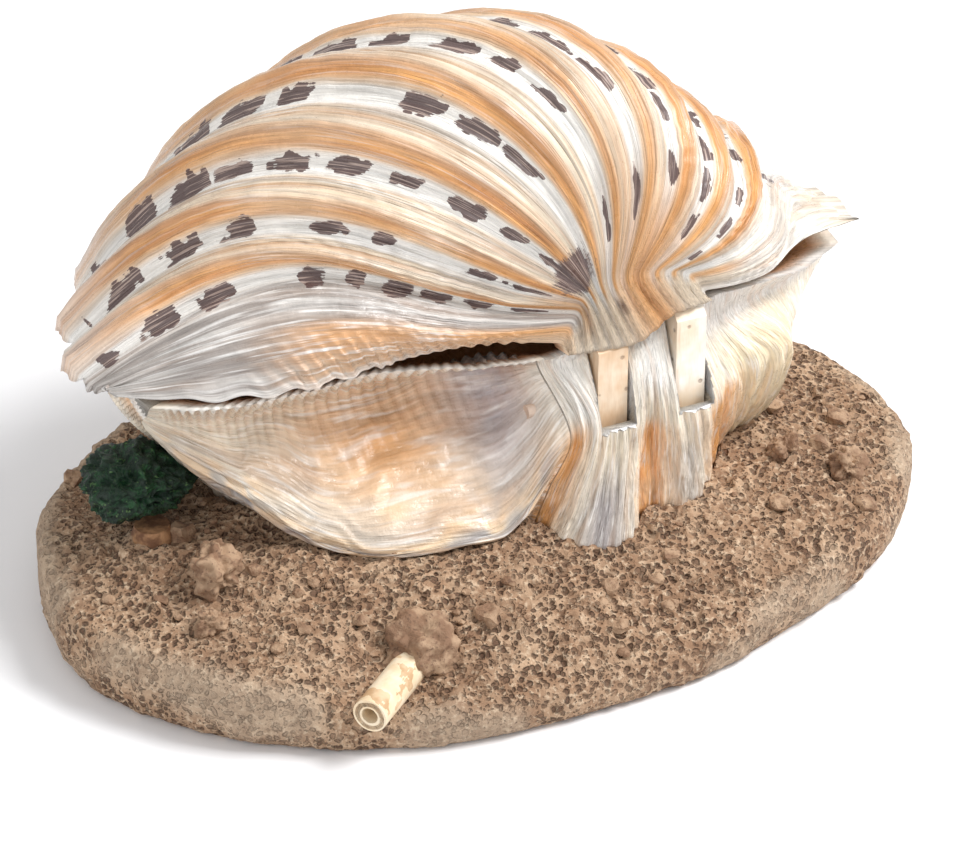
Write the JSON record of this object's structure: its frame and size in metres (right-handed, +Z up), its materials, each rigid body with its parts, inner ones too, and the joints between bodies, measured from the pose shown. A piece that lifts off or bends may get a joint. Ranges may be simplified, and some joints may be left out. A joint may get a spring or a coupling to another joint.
{
  "type": "bubbling clam aquarium ornament",
  "caption": "Hinged ribbed clam on an oval sand base; air fed in at the back gathers under the upper valve, lifts it and escapes.",
  "frame": {"origin": "on the underside of the sand base, below the middle of the shell", "axes": "X along the hinge pin, +Y towards the hinge and the air spigot, +Z up"},
  "size_m": [0.1315, 0.0986, 0.0806],
  "materials": {
    "sand": "rough cast resin with porous sand texture, painted brown",
    "shell": "cast resin, pearly white ribs, orange valleys, brown spots",
    "arm": "cast resin, plain tan",
    "pin": "plain stainless rod",
    "spigot": "cream plastic tube",
    "filler": "brown resin filler",
    "fitting": "plain moulded plastic",
    "plant": "dark green crumpled moss",
    "stone": "small gravel bits in light brown"
  },
  "bodies": {
    "base": {"sand_base": "sand", "lower_valve": "shell", "hinge_pin": "pin", "pin_plug": "shell", "air_spigot": "spigot", "spigot_collar": "filler", "elbow_block": "fitting", "riser_tube": "spigot", "outlet_nozzle": "fitting", "plant_peg": "filler", "plant_tuft": "plant", "stone_a": "stone", "stone_b": "stone", "stone_c": "stone", "stone_d": "stone"},
    "lid": {"upper_valve": "shell", "hinge_arm_left": "arm", "hinge_arm_right": "arm"}
  },
  "joints": [
    {"name": "shell_hinge", "type": "hinge", "parent": "base", "child": "lid", "pos_m": [-0.0176, 0.014, 0.03], "axis": [-1, 0, 0], "range_deg": [0, 28]}
  ]
}
